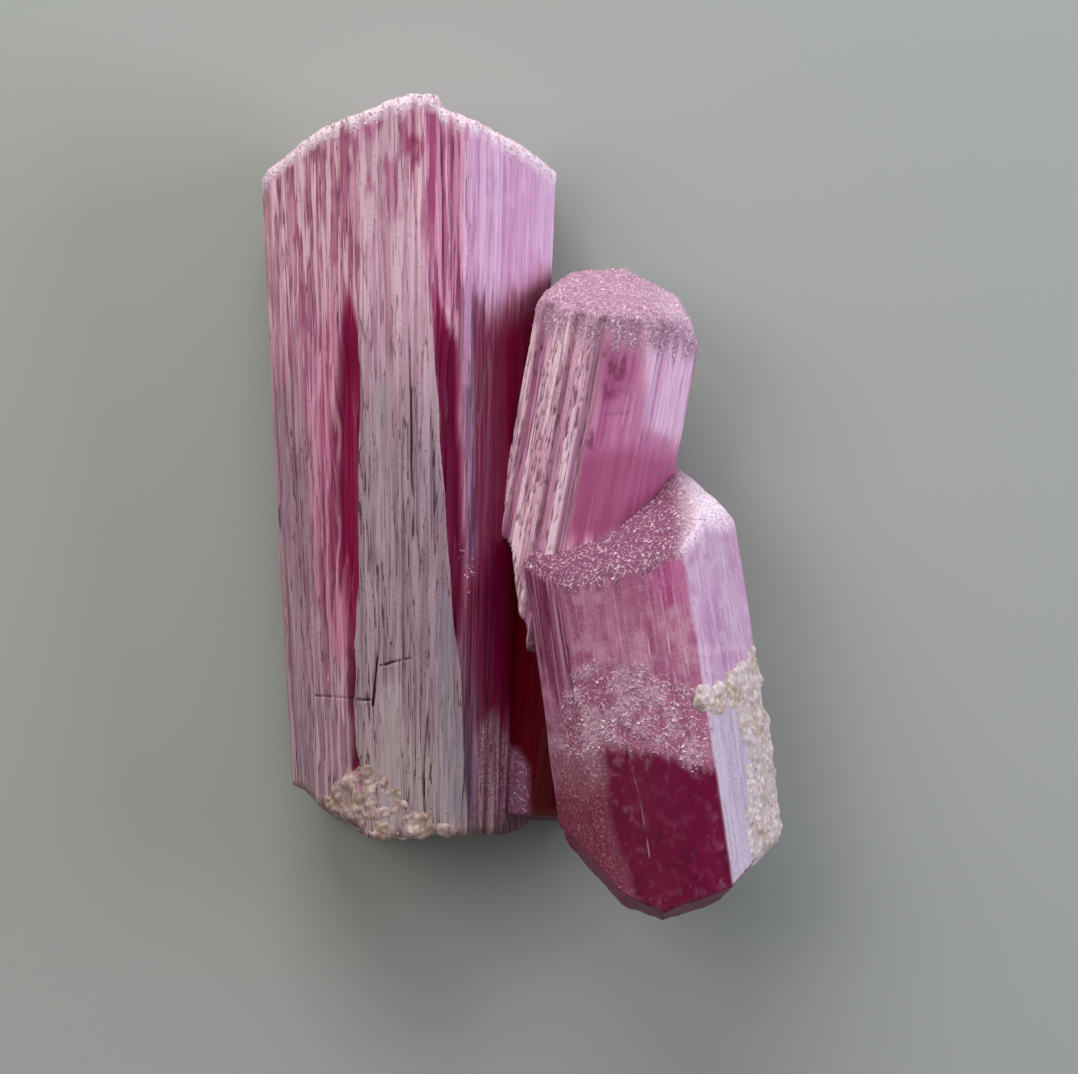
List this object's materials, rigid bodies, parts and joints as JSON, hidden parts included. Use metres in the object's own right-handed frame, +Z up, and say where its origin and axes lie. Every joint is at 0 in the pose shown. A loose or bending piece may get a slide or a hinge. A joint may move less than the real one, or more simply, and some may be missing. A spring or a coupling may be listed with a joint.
{
  "type": "rubellite crystal cluster",
  "caption": "Intergrown striated pink tourmaline prisms with frosted ends, a druse band and a pale crust, lying flat as a display specimen.",
  "frame": {"origin": "on the resting plane, under the middle of the cluster's box", "axes": "+Y along the large crystal towards its tip, +Z up from the resting plane towards the viewer of the lying cluster, +X to the viewer's right"},
  "size_m": [0.0352, 0.0559, 0.0175],
  "materials": {
    "rubellite": "translucent, striated and partly frosted",
    "albite_matrix": "rough and matt"
  },
  "bodies": {
    "root": {"crystal_cluster": "rubellite"}
  },
  "joints": []
}
